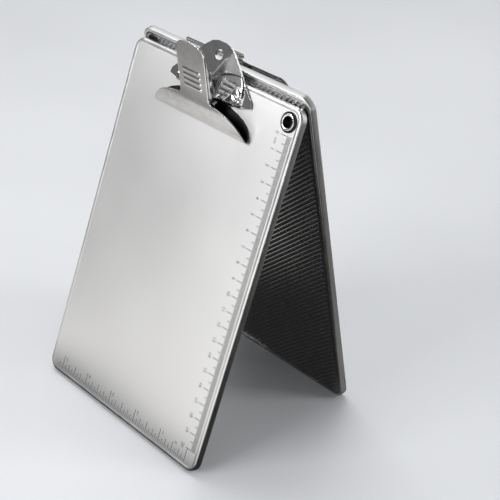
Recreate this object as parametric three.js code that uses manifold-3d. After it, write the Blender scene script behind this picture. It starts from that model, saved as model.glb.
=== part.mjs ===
// Two A5 metal clipboards stood back to back as an inverted V. The front one has a
// tall lever clip, the rear one a low flat clip.
// Units: millimetres. World frame: +Z up, floor at z = 0, +X to the right when the
// front writing face is looked at, +Y from the front board to the rear board.
// Origin: on the floor, at the centre of the footprint.
//
// Each board is drawn in its own flat frame: x to the right across the face,
// y up the board from its bottom edge, z out of the writing face (z = 0 is the
// front plane of the board, z = -BOARD_T is its back plane).
import * as THREE from 'three';
import { mergeVertices } from 'three/addons/utils/BufferGeometryUtils.js';
import Module from 'manifold-3d';

const wasm = await Module();
wasm.setup();

const { degToRad } = THREE.MathUtils;
const { PI, sin, cos, tan } = Math;

// ---------------------------------------------------------------- board dimensions
// _R is a radius, _T a thickness, _INSET a distance in from the board's outer edge
const BOARD_W = 150.8;
const BOARD_H = 230.0;
const BOARD_T = 5.0;          // over the edge frame
const CORNER_R = 7.5;         // corners in plan
const EDGE_R = 0.7;           // rounding of the frame's outer edges
const CLEAR = 0.3;            // working gap between separate pieces

const FRAME_WEB = 0.8;        // side wall of the edge frame
const FRAME_LIP = 3.0;        // front lip, measured from the outer edge
const FRAME_LIP_T = 0.6;
const FRAME_BACK_LIP = 2.2;   // back lip, measured from the outer edge
const FRAME_BACK_T = 0.5;

const FACE_INSET = 3.4;       // face sheet sits inside the front lip
const FACE_TOP = -0.1;
const FACE_T = 0.6;
const SEAM_Y = 190.0;         // top of the open writing area, clear of both clips
const CORE_INSET = 1.2;
const CORE_TOP = -1.0;
const CORE_BOTTOM = -4.1;
const BACK_INSET = 2.6;       // back sheet sits inside the back lip
const BACK_TOP = -4.4;
const BACK_BOTTOM = -4.95;

// hanging eyelet in the top right corner
const EYELET_X = BOARD_W - 9.0;
const EYELET_Y = BOARD_H - 9.3;
const EYELET_BORE_R = 3.3;
const EYELET_BARREL_R = 3.9;
const EYELET_FLANGE_R = 4.9;
const EYELET_HOLE_R = EYELET_BARREL_R + 0.4;
const WASHER_R = 6.1;

const TAIL_Z = -4.9;          // back end of the eyelet and the rivets

const RIVET_R = 1.5;
const RIVET_HEAD_R = 3.0;
const RIVET_TAIL_R = 2.8;
const RIVET_HOLE_R = RIVET_R + CLEAR;
const BACK_RIVET_HOLE_R = 3.2;  // lets the rivet tail through the back sheet

const FRONT_LEAN = degToRad(18.9);  // back from vertical
const REAR_LEAN = degToRad(12.7);   // forward from vertical

// ---------------------------------------------------------------- dimensions of both clips
// _IN and _OUT are the inner and outer faces of a pair, either side of the clip's centre
const CLIP_X = BOARD_W / 2;
const PLATE_Z0 = 0.3;         // underside of the base plates
const EAR_FOOT_Z = PLATE_Z0 + 0.4;  // ears start inside the base plate

// ---------------------------------------------------------------- lever clip dimensions
const PLATE_T = 0.8;
const HANG_HOLE_R = 3.35;     // hole in the base lever
const HANG_HOLE_Y = 239.8;
const LEVER_RIVET = { x: 24.5, y: 223.0, top: PLATE_Z0 + PLATE_T + CLEAR, rise: 1.4 };

const PIN_Y = 213.0;
const PIN_Z = 6.8;
const PIN_R = 1.3;
const EAR_IN = 10.6;
const EAR_OUT = 11.6;
const EAR_R = 2.7;
const FLANGE_IN = 12.0;       // side flanges of the lever
const FLANGE_OUT = 13.0;
const FLANGE_R = 3.0;
const SHELL_T = 1.0;

// finger ribs: round bars across the lever, part sunk in its outer surface
const RIB_COUNT = 4;
const RIB_Y = 218.4;          // lowest rib
const RIB_PITCH = 3.05;
const RIB_R = 0.8;
const RIB_HALF = 7.8;
const RIB_SINK = 0.35;

// base jaw, [half width, y]: from the lower jaw's edge up past the notch and the wing
// tip to the flat end of the base lever, which stands above the board
const BASE_OUTLINE = [
  [39.6, 198.8], [40.3, 200.3], [40.0, 202.9], [38.8, 205.3], [36.8, 207.3], [32.0, 210.4],
  [26.4, 212.3], [20.6, 213.6], [18.8, 214.5], [21.4, 215.3], [27.2, 215.9], [36.6, 217.9],
  [35.9, 221.2], [12.6, 243.2], [8.5, 246.2], [4.2, 247.4],
];
// lever jaw, [half width, y]; the first point lies below the clamp edge, so that
// JAW_PROFILE alone sets that edge
const JAW_OUTLINE = [
  [41.0, 195.0], [41.0, 198.5], [40.6, 200.2], [39.2, 202.4], [36.8, 204.8], [33.2, 207.2],
  [28.6, 209.2], [23.0, 210.6], [17.5, 211.4], [14.2, 212.0], [13.0, 213.4], [13.0, 231.0],
  [12.6, 236.0], [12.0, 238.5], [11.0, 240.3], [9.6, 241.6], [7.6, 242.6], [5.2, 243.3],
  [1.6, 243.8],
];
// straight part of the lever, [y, z] of the outer surface at its two ends
const LEVER_START = [218.1, 14.3];
const LEVER_RISE = [231.0, 21.2];
// lever jaw, [y, z] of the outer surface
const JAW_PROFILE = [
  [198.4, 1.9], [199.2, 3.5], [200.8, 5.3], [203.0, 7.1], [206.0, 8.95],
  [209.4, 10.5], [213.5, 12.1], LEVER_START, LEVER_RISE, [244.4, 28.1],
];
// side flange of the lever, [y, z]; an arc around the pin closes it
const FLANGE_OUTLINE = [
  [PIN_Y - 2.2, 10.3], [PIN_Y + 0.5, 11.6], [218.1, 13.8], [231.0, 20.7],
  [236.2, 23.4], [235.8, 22.0], [219.5, 8.6],
];

// ---------------------------------------------------------------- low clip dimensions
const LOW_BASE_HALF = 37.0;
const LOW_BASE_Y0 = 204.0;
const LOW_BASE_Y1 = 226.5;
const LOW_BASE_T = 0.9;
const LOW_BASE_CHAMFER = 2.0;
const LOW_RIVET = { x: 22.0, y: 222.0, top: PLATE_Z0 + LOW_BASE_T + CLEAR, rise: 1.0 };

const LOW_ROD_Y = 214.0;
const LOW_ROD_Z = 4.9;
const LOW_ROD_R = 1.1;
const LOW_EAR_IN = 35.6;
const LOW_EAR_OUT = 36.6;
const LOW_EAR_R = 2.3;
const LOW_EAR_FOOT = 3.4;     // half length of the ear where it meets the base
const LOW_LUG_IN = 37.2;
const LOW_LUG_OUT = 38.2;
const LOW_LUG_R = 2.1;
const LOW_SHELL_T = 0.8;

// clamp plate, [half width, y], ending in the flared thumb tab; the first point lies
// below the clamp edge, so that LOW_PROFILE alone sets that edge
const LOW_OUTLINE = [
  [42.5, 190.0], [42.5, 196.0], [44.6, 197.5], [45.8, 200.0], [46.0, 203.0], [46.0, 223.0],
  [45.4, 226.0], [43.6, 228.0], [41.0, 228.8], [9.8, 228.8], [9.0, 229.5], [9.7, 230.4],
  [10.5, 231.3], [9.6, 231.9],
];
// clamp plate, [y, z] of the outer surface
const LOW_PROFILE = [
  [195.6, 1.4], [196.2, 3.6], [197.8, 5.4], [201.0, 6.8], [206.0, 7.7], [212.0, 8.1],
  [217.0, 7.8], [222.0, 6.9], [226.0, 5.7], [228.8, 4.7], [230.0, 4.7], [231.1, 5.3],
  [232.2, 6.3],
];

// ---------------------------------------------------------------- springs
const COIL_TURNS = 5;
const COIL_PITCH = 1.5;
const SPRING_STEPS = 66;
// y, z: coil axis; legA, legB: leg lengths; start: angle in degrees where leg A meets
// the coil; wrap: degrees wound beyond COIL_TURNS - 1 full turns
const FRONT_SPRING = {
  y: PIN_Y, z: PIN_Z, coilR: 2.15, wireR: 0.5, legA: 9.0, legB: 12.0, start: -100, wrap: 142,
};
const REAR_SPRING = {
  y: LOW_ROD_Y, z: LOW_ROD_Z, coilR: 1.75, wireR: 0.3, legA: 6.5, legB: 8.5, start: -97, wrap: 183,
};

// ---------------------------------------------------------------- materials
const MATERIALS = {
  face:   { color: 0xc9cacb, roughness: 0.34, metalness: 1.0 },
  frame:  { color: 0xb4b5b7, roughness: 0.24, metalness: 1.0 },
  core:   { color: 0x17181a, roughness: 0.75, metalness: 0.0 },
  back:   { color: 0x121214, roughness: 0.42, metalness: 0.0 },
  chrome: { color: 0xc4c5c6, roughness: 0.10, metalness: 1.0 },
  eyelet: { color: 0xe2e3e4, roughness: 0.18, metalness: 1.0 },
  washer: { color: 0x0b0b0c, roughness: 0.35, metalness: 0.0 },
  spring: { color: 0x8f9092, roughness: 0.22, metalness: 1.0 },
};

// ---------------------------------------------------------------- solid helpers
function toSolid(geometry) {
  // normals and uvs would keep coincident corners from being merged
  geometry.deleteAttribute('normal');
  geometry.deleteAttribute('uv');
  const merged = mergeVertices(geometry, 1e-4);
  return new wasm.Manifold(new wasm.Mesh({
    numProp: 3,
    vertProperties: new Float32Array(merged.attributes.position.array),
    triVerts: new Uint32Array(merged.index.array),
  }));
}

function toGeometry(solid) {
  const mesh = solid.getMesh();
  const positions = new Float32Array(mesh.vertProperties);
  const geometry = new THREE.BufferGeometry();
  geometry.setAttribute('position', new THREE.BufferAttribute(positions, 3));
  geometry.setIndex(new THREE.BufferAttribute(new Uint32Array(mesh.triVerts), 1));
  geometry.computeVertexNormals();
  return geometry;
}

// shape left open at its last point, so that an arc can follow
function openShape(points) {
  const shape = new THREE.Shape();
  points.forEach(([x, y], i) => (i ? shape.lineTo(x, y) : shape.moveTo(x, y)));
  return shape;
}

function polygon(points) {
  const shape = openShape(points);
  shape.closePath();
  return shape;
}

// closed outline about the clip's centre line, from its right half as [half width, y]
function mirrored(half) {
  return polygon([
    ...half.map(([x, y]) => [CLIP_X + x, y]),
    ...half.map(([x, y]) => [CLIP_X - x, y]).reverse(),
  ]);
}

function hole(x, y, radius) {
  const path = new THREE.Path();
  path.absarc(x, y, radius, 0, 2 * PI, true);
  return path;
}

// a hole either side of the clip's centre line
const holePair = (at, radius) => [-1, 1].map((side) => hole(CLIP_X + side * at.x, at.y, radius));

// straight prism of a shape between two heights
function prism(shape, zFrom, zTo, curveSegments = 6) {
  const geometry = new THREE.ExtrudeGeometry(shape, {
    depth: zTo - zFrom, bevelEnabled: false, curveSegments,
  });
  geometry.translate(0, 0, zFrom);
  return geometry;
}

// turns local x -> y, y -> z, z -> x, then moves the origin to (x, y, z)
function layAlongX(geometry, x, y, z) {
  return geometry.applyMatrix4(new THREE.Matrix4().set(
    0, 0, 1, x,
    1, 0, 0, y,
    0, 1, 0, z,
    0, 0, 0, 1,
  ));
}

// prism of a shape drawn in (y, z), standing between two x positions
function sidePrism(shape, xFrom, xTo, segments) {
  return layAlongX(prism(shape, 0, xTo - xFrom, segments), xFrom, 0, 0);
}

// adds a side prism either side of the clip's centre line
function addSidePair(solid, shape, inner, outer, segments) {
  return solid
    .add(toSolid(sidePrism(shape, CLIP_X + inner, CLIP_X + outer, segments)))
    .add(toSolid(sidePrism(shape, CLIP_X - outer, CLIP_X - inner, segments)));
}

// solid of revolution about the local z axis through (x, y); profile is [radius, z]
function turned(x, y, profile, segments) {
  const points = profile.map(([radius, z]) => new THREE.Vector2(radius, z));
  const geometry = new THREE.LatheGeometry(points, segments);
  geometry.rotateX(PI / 2);     // lathe axis y -> z
  geometry.translate(x, y, 0);
  return geometry;
}

// ---------------------------------------------------------------- board pieces
// sides of the board's plan and its corner radius, pulled in by inset
const planLimits = (inset) => ({
  left: inset, bottom: inset, right: BOARD_W - inset, top: BOARD_H - inset,
  radius: CORNER_R - inset,
});

function boardShape(inset) {
  const { left, bottom, right, top, radius } = planLimits(inset);
  const shape = openShape([[left + radius, bottom], [right - radius, bottom]]);
  shape.absarc(right - radius, bottom + radius, radius, -PI / 2, 0, false);
  shape.absarc(right - radius, top - radius, radius, 0, PI / 2, false);
  shape.absarc(left + radius, top - radius, radius, PI / 2, PI, false);
  shape.absarc(left + radius, bottom + radius, radius, PI, 1.5 * PI, false);
  return shape;
}

function edgeFrame() {
  const overlap = 0.2;    // lip openings run this far into the hollow
  const outside = 1;      // and this far beyond the board
  const body = new THREE.ExtrudeGeometry(boardShape(0), {
    depth: BOARD_T - 2 * EDGE_R,
    bevelEnabled: true,
    bevelThickness: EDGE_R,
    bevelSize: EDGE_R,
    bevelOffset: -EDGE_R,
    bevelSegments: 2,
    curveSegments: 5,
  });
  body.translate(0, 0, -BOARD_T + EDGE_R);
  const backLipZ = -BOARD_T + FRAME_BACK_T;
  const cuts = [
    prism(boardShape(FRAME_WEB), backLipZ, -FRAME_LIP_T),
    prism(boardShape(FRAME_LIP), -FRAME_LIP_T - overlap, outside),
    prism(boardShape(FRAME_BACK_LIP), -BOARD_T - outside, backLipZ + overlap),
  ];
  return toGeometry(cuts.reduce((solid, cut) => solid.subtract(toSolid(cut)), toSolid(body)));
}

const sheetHoles = (rivetAt, eyeletHoleR, rivetHoleR) => [
  hole(EYELET_X, EYELET_Y, eyeletHoleR),
  ...holePair(rivetAt, rivetHoleR),
];

function sheet(inset, zFrom, zTo, holes) {
  const shape = boardShape(inset);
  shape.holes.push(...holes);
  return prism(shape, zFrom, zTo, 7);
}

// the face sheet is drawn as two areas that meet at SEAM_Y, so that the open writing
// area below the clip has flat facets of its own; the result is one closed solid
function faceSheet(holes) {
  const { left, bottom, right, top, radius } = planLimits(FACE_INSET);
  const lower = openShape([[left, SEAM_Y], [left, bottom + radius]]);
  lower.absarc(left + radius, bottom + radius, radius, PI, 1.5 * PI, false);
  lower.absarc(right - radius, bottom + radius, radius, -PI / 2, 0, false);
  lower.lineTo(right, SEAM_Y);
  lower.closePath();
  const upper = openShape([[left, SEAM_Y], [right, SEAM_Y]]);
  upper.absarc(right - radius, top - radius, radius, 0, PI / 2, false);
  upper.absarc(left + radius, top - radius, radius, PI / 2, PI, false);
  upper.closePath();
  upper.holes.push(...holes);

  // leave out the walls on the seam; 9 numbers make a triangle
  const kept = [];
  for (const shape of [lower, upper]) {
    const positions = prism(shape, FACE_TOP - FACE_T, FACE_TOP, 7).attributes.position.array;
    for (let i = 0; i < positions.length; i += 9) {
      const onSeam = [1, 4, 7].every((k) => Math.abs(positions[i + k] - SEAM_Y) < 1e-4);
      if (!onSeam) kept.push(...positions.slice(i, i + 9));
    }
  }
  const geometry = new THREE.BufferGeometry();
  geometry.setAttribute('position', new THREE.BufferAttribute(new Float32Array(kept), 3));
  const joined = mergeVertices(geometry, 1e-4);
  joined.computeVertexNormals();
  return joined;
}

function eyelet() {
  const tailR = EYELET_FLANGE_R - 0.1;
  return turned(EYELET_X, EYELET_Y, [
    [EYELET_BORE_R, TAIL_Z], [tailR, TAIL_Z], [tailR, TAIL_Z + 0.4],
    [EYELET_BARREL_R, TAIL_Z + 0.4], [EYELET_BARREL_R, 0.9],
    [EYELET_FLANGE_R, 0.9], [EYELET_FLANGE_R, 1.15], [EYELET_FLANGE_R - 0.5, 1.45],
    [EYELET_BORE_R + 0.4, 1.45], [EYELET_BORE_R, 1.1], [EYELET_BORE_R, TAIL_Z],
  ], 24);
}

function washer() {
  return turned(EYELET_X, EYELET_Y, [
    [EYELET_HOLE_R, 0.2], [WASHER_R, 0.2], [WASHER_R, 0.5], [WASHER_R - 0.25, 0.6],
    [EYELET_HOLE_R, 0.6], [EYELET_HOLE_R, 0.2],
  ], 24);
}

// side: -1 left, +1 right; top: underside of the head; rise: height of the domed head
function rivet(side, { x, y, top, rise }) {
  return turned(CLIP_X + side * x, y, [
    [0, TAIL_Z], [RIVET_TAIL_R, TAIL_Z], [RIVET_TAIL_R, TAIL_Z + 0.5],
    [RIVET_R, TAIL_Z + 0.5], [RIVET_R, top],
    [RIVET_HEAD_R, top], [RIVET_HEAD_R - 0.25, top + 0.4 * rise],
    [RIVET_HEAD_R - 1.2, top + 0.82 * rise], [0, top + rise],
  ], 16);
}

// ---------------------------------------------------------------- parts shared by the clips
// inner line of the pressed sheet: the outer line moved in by the sheet thickness
function offsetLine(line, thickness) {
  return line.map(([y, z], i) => {
    const before = line[Math.max(i - 1, 0)];
    const after = line[Math.min(i + 1, line.length - 1)];
    const dy = after[0] - before[0];
    const dz = after[1] - before[1];
    const length = Math.hypot(dy, dz);
    return [y + (thickness * dz) / length, z - (thickness * dy) / length];
  });
}

// bent sheet of the given side profile, trimmed to a plan outline
function pressedSheet(profile, thickness, outline) {
  const reach = 50;       // half width before trimming, beyond either outline
  const strip = polygon([...profile, ...offsetLine(profile, thickness).reverse()]);
  return toSolid(sidePrism(strip, CLIP_X - reach, CLIP_X + reach))
    .intersect(toSolid(prism(mirrored(outline), -2, 32)));
}

// cutter for a pin's bore, reaching `reach` either side of the clip's centre
function boreCutter(y, z, pinR, reach, segments) {
  const radius = pinR + CLEAR;
  const profile = [[0, -reach], [radius, -reach], [radius, reach], [0, reach]];
  return toSolid(layAlongX(turned(0, 0, profile, segments), CLIP_X, y, z));
}

// pin with a head at each end; endProfile is [radius, x] from its left tip to its shank
function headedPin(y, z, endProfile, segments) {
  const otherEnd = endProfile.map(([radius, x]) => [radius, -x]).reverse();
  return layAlongX(turned(0, 0, [...endProfile, ...otherEnd], segments), CLIP_X, y, z);
}

// torsion spring on a pin: leg A runs over the base plate, leg B under the moving jaw
class SpringLine extends THREE.Curve {
  constructor(spec) {
    super();
    this.spec = spec;
  }

  getPoint(t, target = new THREE.Vector3()) {
    const { y, z, coilR, legA, legB, start, wrap } = this.spec;
    const span = COIL_TURNS * COIL_PITCH;
    const startAngle = degToRad(start);
    const wind = degToRad(wrap + 360 * (COIL_TURNS - 1));
    const endAngle = startAngle - wind;
    const coilLength = wind * coilR;
    const travelled = t * (legA + coilLength + legB);
    // point on the coil, or `out` from it along the direction `heading`
    const point = (angle, x, out = 0, heading = 0) => target.set(
      x,
      y + coilR * cos(angle) + out * cos(heading),
      z + coilR * sin(angle) + out * sin(heading),
    );
    if (travelled < legA) {
      return point(startAngle, CLIP_X - span / 2, legA - travelled, startAngle + PI / 2);
    }
    if (travelled < legA + coilLength) {
      const share = (travelled - legA) / coilLength;
      return point(startAngle - share * wind, CLIP_X - span / 2 + share * span);
    }
    const out = travelled - legA - coilLength;
    return point(endAngle, CLIP_X + span / 2, out, endAngle - PI / 2);
  }
}

function spring(spec) {
  const hexagon = Array.from({ length: 6 }, (_, i) => [
    spec.wireR * cos((i * PI) / 3), spec.wireR * sin((i * PI) / 3),
  ]);
  return new THREE.ExtrudeGeometry(polygon(hexagon), {
    steps: SPRING_STEPS, extrudePath: new SpringLine(spec), bevelEnabled: false,
  });
}

// ---------------------------------------------------------------- lever clip
function leverBase() {
  const plate = mirrored(BASE_OUTLINE);
  plate.holes.push(hole(CLIP_X, HANG_HOLE_Y, HANG_HOLE_R));
  plate.holes.push(...holePair(LEVER_RIVET, RIVET_HOLE_R));
  const solid = toSolid(prism(plate, PLATE_Z0, PLATE_Z0 + PLATE_T, 8));
  // two ears, folded up at right angles, that carry the hinge pin
  const ear = openShape([[PIN_Y - 1.7, EAR_FOOT_Z], [PIN_Y + 5.5, EAR_FOOT_Z]]);
  ear.absarc(PIN_Y, PIN_Z, EAR_R, 0.5, PI, false);
  ear.lineTo(PIN_Y - EAR_R, PIN_Z - 2.0);
  ear.closePath();
  ear.holes.push(hole(PIN_Y, PIN_Z, PIN_R + CLEAR));
  return toGeometry(addSidePair(solid, ear, EAR_IN, EAR_OUT));
}

function fingerRib(index) {
  const [startY, startZ] = LEVER_START;
  const slope = Math.atan2(LEVER_RISE[1] - startZ, LEVER_RISE[0] - startY);
  const y = RIB_Y + index * RIB_PITCH;
  const z = startZ + (y - startY) * tan(slope);
  const bar = new THREE.Shape();
  bar.absarc(0, 0, RIB_R, 0, 2 * PI, false);
  const geometry = sidePrism(bar, CLIP_X - RIB_HALF, CLIP_X + RIB_HALF, 4);
  geometry.translate(0, y + RIB_SINK * sin(slope), z - RIB_SINK * cos(slope));
  return geometry;
}

function leverJaw() {
  let solid = pressedSheet(JAW_PROFILE, SHELL_T, JAW_OUTLINE);
  // folded side flanges of the lever, deep at the pin and fading out towards the top
  const flange = openShape(FLANGE_OUTLINE);
  flange.absarc(PIN_Y, PIN_Z, FLANGE_R, -0.35, -PI, true);
  flange.closePath();
  solid = addSidePair(solid, flange, FLANGE_IN, FLANGE_OUT);
  solid = solid.subtract(boreCutter(PIN_Y, PIN_Z, PIN_R, 20, 16));
  for (let i = 0; i < RIB_COUNT; i++) {
    solid = solid.add(toSolid(fingerRib(i)));
  }
  return toGeometry(solid);
}

function leverPin() {
  const end = -(FLANGE_OUT + CLEAR);
  return headedPin(PIN_Y, PIN_Z, [
    [0, end - 0.9], [1.6, end - 0.9], [2.1, end - 0.4], [2.1, end], [PIN_R, end],
  ], 16);
}

// ---------------------------------------------------------------- low clip
function lowBase() {
  const plate = mirrored([
    [LOW_BASE_HALF - LOW_BASE_CHAMFER, LOW_BASE_Y0],
    [LOW_BASE_HALF, LOW_BASE_Y0 + LOW_BASE_CHAMFER],
    [LOW_BASE_HALF, LOW_BASE_Y1 - LOW_BASE_CHAMFER],
    [LOW_BASE_HALF - LOW_BASE_CHAMFER, LOW_BASE_Y1],
  ]);
  plate.holes.push(...holePair(LOW_RIVET, RIVET_HOLE_R));
  const solid = toSolid(prism(plate, PLATE_Z0, PLATE_Z0 + LOW_BASE_T));
  // two ears that carry the hinge rod
  const ear = openShape([
    [LOW_ROD_Y - LOW_EAR_FOOT, EAR_FOOT_Z], [LOW_ROD_Y + LOW_EAR_FOOT, EAR_FOOT_Z],
  ]);
  ear.absarc(LOW_ROD_Y, LOW_ROD_Z, LOW_EAR_R, 0.2, PI - 0.2, false);
  ear.closePath();
  ear.holes.push(hole(LOW_ROD_Y, LOW_ROD_Z, LOW_ROD_R + CLEAR));
  return toGeometry(addSidePair(solid, ear, LOW_EAR_IN, LOW_EAR_OUT));
}

function lowClamp() {
  let solid = pressedSheet(LOW_PROFILE, LOW_SHELL_T, LOW_OUTLINE);
  // two lugs under the plate that turn on the rod, outside the base's ears
  const lug = openShape([[LOW_ROD_Y - 3.2, 7.5], [LOW_ROD_Y - 2.1, LOW_ROD_Z - 0.5]]);
  lug.absarc(LOW_ROD_Y, LOW_ROD_Z, LOW_LUG_R, PI + 0.3, 2 * PI - 0.3, false);
  lug.lineTo(LOW_ROD_Y + 3.2, 7.4);
  lug.closePath();
  solid = addSidePair(solid, lug, LOW_LUG_IN, LOW_LUG_OUT, 5);
  solid = solid.subtract(boreCutter(LOW_ROD_Y, LOW_ROD_Z, LOW_ROD_R, 42, 14));
  return toGeometry(solid);
}

function lowRod() {
  const end = -(LOW_LUG_OUT + CLEAR);
  return headedPin(LOW_ROD_Y, LOW_ROD_Z, [
    [0, end - 0.8], [1.3, end - 0.8], [1.7, end - 0.3], [1.7, end], [LOW_ROD_R, end],
  ], 14);
}

// ---------------------------------------------------------------- one board with its clip
const addPiece = (board, name, geometry, materialName) => {
  const material = new THREE.MeshStandardMaterial({ ...MATERIALS[materialName] });
  const mesh = new THREE.Mesh(geometry, material);
  mesh.name = `${board}_${name}`;
  return mesh;
};

function clipboard(board, rivetAt, clipPieces) {
  const holes = sheetHoles(rivetAt, EYELET_HOLE_R, RIVET_HOLE_R);
  const backHoles = sheetHoles(rivetAt, EYELET_FLANGE_R + CLEAR, BACK_RIVET_HOLE_R);
  const pieces = [
    ['edge_frame', edgeFrame(), 'frame'],
    ['face_plate', faceSheet(holes), 'face'],
    ['core_panel', sheet(CORE_INSET, CORE_BOTTOM, CORE_TOP, holes), 'core'],
    ['back_sheet', sheet(BACK_INSET, BACK_BOTTOM, BACK_TOP, backHoles), 'back'],
    ['eyelet', eyelet(), 'eyelet'],
    ['eyelet_washer', washer(), 'washer'],
    ...clipPieces,
    ['clip_rivet_left', rivet(-1, rivetAt), 'chrome'],
    ['clip_rivet_right', rivet(1, rivetAt), 'chrome'],
  ];
  const group = new THREE.Group();
  pieces.forEach((piece) => group.add(addPiece(board, ...piece)));
  return group;
}

const front = clipboard('front', LEVER_RIVET, [
  ['clip_base_jaw', leverBase(), 'chrome'],
  ['clip_lever_jaw', leverJaw(), 'chrome'],
  ['clip_hinge_pin', leverPin(), 'chrome'],
  ['clip_spring', spring(FRONT_SPRING), 'spring'],
]);
const rear = clipboard('rear', LOW_RIVET, [
  ['clip_base_plate', lowBase(), 'chrome'],
  ['clip_clamp_plate', lowClamp(), 'chrome'],
  ['clip_hinge_rod', lowRod(), 'chrome'],
  ['clip_spring', spring(REAR_SPRING), 'spring'],
]);

// ---------------------------------------------------------------- placing the two boards
// height of a board's origin when its rounded lower back edge stands on the floor
const standZ = (lean) => EDGE_R - EDGE_R * cos(lean) + (BOARD_T - EDGE_R) * sin(lean);

// facing: +1 for a writing face towards -Y, -1 for one towards +Y
function place(board, facing, lean, y) {
  board.quaternion.setFromRotationMatrix(new THREE.Matrix4().makeBasis(
    new THREE.Vector3(facing, 0, 0),
    new THREE.Vector3(0, facing * sin(lean), cos(lean)),    // up the board
    new THREE.Vector3(0, -facing * cos(lean), sin(lean)),   // out of the face
  ));
  board.position.set((-facing * BOARD_W) / 2, y, standZ(lean));
}

// the fold axis is the centre line of the front board's rounded upper back edge;
// here y is measured from the front board's origin
const foldUp = BOARD_H - EDGE_R;
const foldOut = -(BOARD_T - EDGE_R);
const foldY = foldUp * sin(FRONT_LEAN) - foldOut * cos(FRONT_LEAN);
const foldZ = standZ(FRONT_LEAN) + foldUp * cos(FRONT_LEAN) + foldOut * sin(FRONT_LEAN);
// in the rear board's frame the axis lies behind its back plane, a gap off the front edge
const rearOut = -BOARD_T - (EDGE_R + CLEAR);
const rearUp = (foldZ - standZ(REAR_LEAN) - rearOut * sin(REAR_LEAN)) / cos(REAR_LEAN);
// distance between the boards' origins, which lie equally far either side of y = 0
const spread = foldY + rearUp * sin(REAR_LEAN) - rearOut * cos(REAR_LEAN);

place(front, 1, FRONT_LEAN, -spread / 2);
place(rear, -1, REAR_LEAN, spread / 2);

const group = new THREE.Group();
group.add(front, rear);

export default group;
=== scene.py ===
"""Two clipboards standing back to back, tops touching, like a tent.

The front board (towards -Y) has a tall lever clip, the rear one (towards +Y) a low flat clip.
Each board is drawn in millimetres in its own board frame: x to the right across the face, y up
the board, z out of the face (face near 0, back at -5). PLACE stands it in the row frame:
metres, X across, Z up. A shape is a pair (verts, faces).
"""

import functools
import math

import bmesh
import bpy
import numpy as np
from mathutils import Matrix, Vector
from mathutils.geometry import tessellate_polygon


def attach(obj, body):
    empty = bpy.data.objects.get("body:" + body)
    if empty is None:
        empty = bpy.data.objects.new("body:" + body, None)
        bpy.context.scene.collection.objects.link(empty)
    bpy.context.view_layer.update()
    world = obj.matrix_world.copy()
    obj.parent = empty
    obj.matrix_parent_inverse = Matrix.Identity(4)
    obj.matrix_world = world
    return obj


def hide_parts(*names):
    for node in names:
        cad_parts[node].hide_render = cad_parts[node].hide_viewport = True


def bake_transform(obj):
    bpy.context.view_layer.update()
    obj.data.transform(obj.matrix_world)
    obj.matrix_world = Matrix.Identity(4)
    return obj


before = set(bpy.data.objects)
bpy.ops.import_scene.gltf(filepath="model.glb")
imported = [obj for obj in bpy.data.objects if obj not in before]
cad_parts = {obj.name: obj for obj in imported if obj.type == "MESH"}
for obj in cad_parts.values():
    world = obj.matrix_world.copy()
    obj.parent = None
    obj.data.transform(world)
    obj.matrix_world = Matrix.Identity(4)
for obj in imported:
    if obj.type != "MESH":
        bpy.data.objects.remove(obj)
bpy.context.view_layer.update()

# ------------------------------------------------------------------ driving dimensions (mm)
WIDTH, HEIGHT, THICK = 150.8, 230.0, 5.0
CORNER = 7.5                       # corner radius of the board's plan
EDGE_R = 0.7                       # rounding of the board's edge
CLEAR = 0.3                        # gap between the boards at the top
CX = WIDTH / 2
EYELET_AT = (141.8, 220.7)
PIN_AT = (213.0, 6.8)              # lever clip's hinge pin (y, z)
ROD_AT = (214.0, 4.9)              # low clip's hinge rod (y, z)
RIVETS = {"front": (24.5, 223.0), "rear": (22.0, 222.0)}    # distance each side of CX, y
BORE, BORE_SEGMENTS = 1.62, 32     # rivet holes in the clip bases
FRONT_LEAN, REAR_LEAN = math.radians(18.9), math.radians(12.7)


def foot_height(lean):
    """Height of the board frame's origin when the lower back edge rests on the floor."""
    return EDGE_R - EDGE_R * math.cos(lean) + (THICK - EDGE_R) * math.sin(lean)


FRONT_Z, REAR_Z = foot_height(FRONT_LEAN), foot_height(REAR_LEAN)
# centre of the front board's rounded top back edge: in its board frame, then in the row
FOLD_UP, FOLD_OUT = HEIGHT - EDGE_R, -(THICK - EDGE_R)
FOLD_Y = FOLD_UP * math.sin(FRONT_LEAN) - FOLD_OUT * math.cos(FRONT_LEAN)
FOLD_Z = FRONT_Z + FOLD_UP * math.cos(FRONT_LEAN) + FOLD_OUT * math.sin(FRONT_LEAN)
# the same point in the rear board's frame
REAR_OUT = -THICK - EDGE_R - CLEAR
REAR_UP = (FOLD_Z - REAR_Z - REAR_OUT * math.sin(REAR_LEAN)) / math.cos(REAR_LEAN)
REAR_Y = FOLD_Y + REAR_UP * math.sin(REAR_LEAN) - REAR_OUT * math.cos(REAR_LEAN)
MID_Y = REAR_Y / 2

# board frame (mm) to row frame (m)
PLACE = {
    "front": Matrix.Scale(0.001, 4) @ Matrix((
        (1, 0, 0, -CX),
        (0, math.sin(FRONT_LEAN), -math.cos(FRONT_LEAN), -MID_Y),
        (0, math.cos(FRONT_LEAN), math.sin(FRONT_LEAN), FRONT_Z),
        (0, 0, 0, 1))),
    "rear": Matrix.Scale(0.001, 4) @ Matrix((
        (-1, 0, 0, CX),
        (0, -math.sin(REAR_LEAN), math.cos(REAR_LEAN), REAR_Y - MID_Y),
        (0, math.cos(REAR_LEAN), math.sin(REAR_LEAN), REAR_Z),
        (0, 0, 0, 1))),
}


# ------------------------------------------------------------------ outlines
def unit(v):
    return v / np.maximum(np.linalg.norm(v, axis=-1, keepdims=True), 1e-9)


def left_of(v):
    """Plane vectors turned a quarter turn to the left."""
    return np.stack([-v[:, 1], v[:, 0]], 1)


def smoothstep(x):
    x = np.clip(x, 0, 1)
    return x * x * (3 - 2 * x)


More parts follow.
